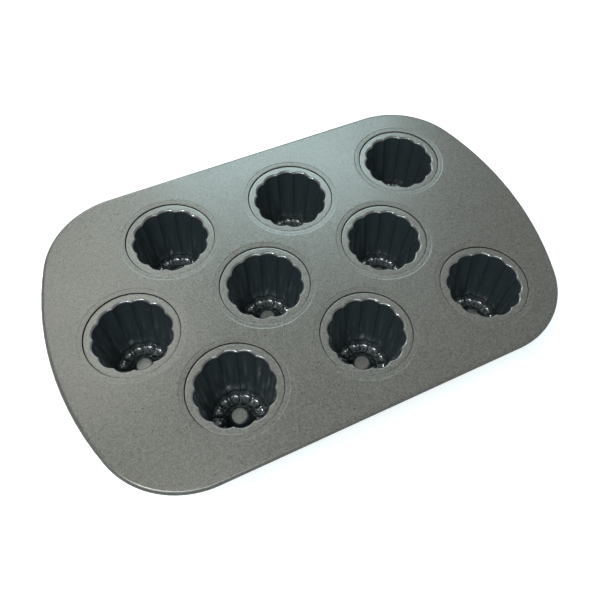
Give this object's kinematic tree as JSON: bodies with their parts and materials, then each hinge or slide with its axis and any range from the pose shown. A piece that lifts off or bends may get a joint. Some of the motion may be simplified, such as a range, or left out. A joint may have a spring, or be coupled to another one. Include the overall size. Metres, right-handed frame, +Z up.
{
  "type": "canele pan",
  "caption": "Oven pan for small ribbed cakes: staggered deep fluted cups seamed into a flat round-cornered deck with a wired, rolled edge.",
  "frame": {"origin": "middle of the deck's outline, at the level of the cups' undersides, on which the pan stands", "axes": "+X along the long side towards the end where the middle row is set back, +Y towards the back row, +Z up out of the cups"},
  "size_m": [0.3768, 0.2474, 0.0568],
  "materials": {
    "deck_coating": "fine metallic grey non-stick coat, satin",
    "cup_coating": "the same non-stick coat, darker and glossier where the sheet is drawn",
    "wire_steel": "plain drawn steel wire, hidden in the rolled edge"
  },
  "bodies": {
    "root": {"deck_sheet": "deck_coating", "rim_wire": "wire_steel", "cup_back_1": "cup_coating", "cup_back_2": "cup_coating", "cup_back_3": "cup_coating", "cup_middle_1": "cup_coating", "cup_middle_2": "cup_coating", "cup_middle_3": "cup_coating", "cup_front_1": "cup_coating", "cup_front_2": "cup_coating", "cup_front_3": "cup_coating"}
  },
  "joints": []
}
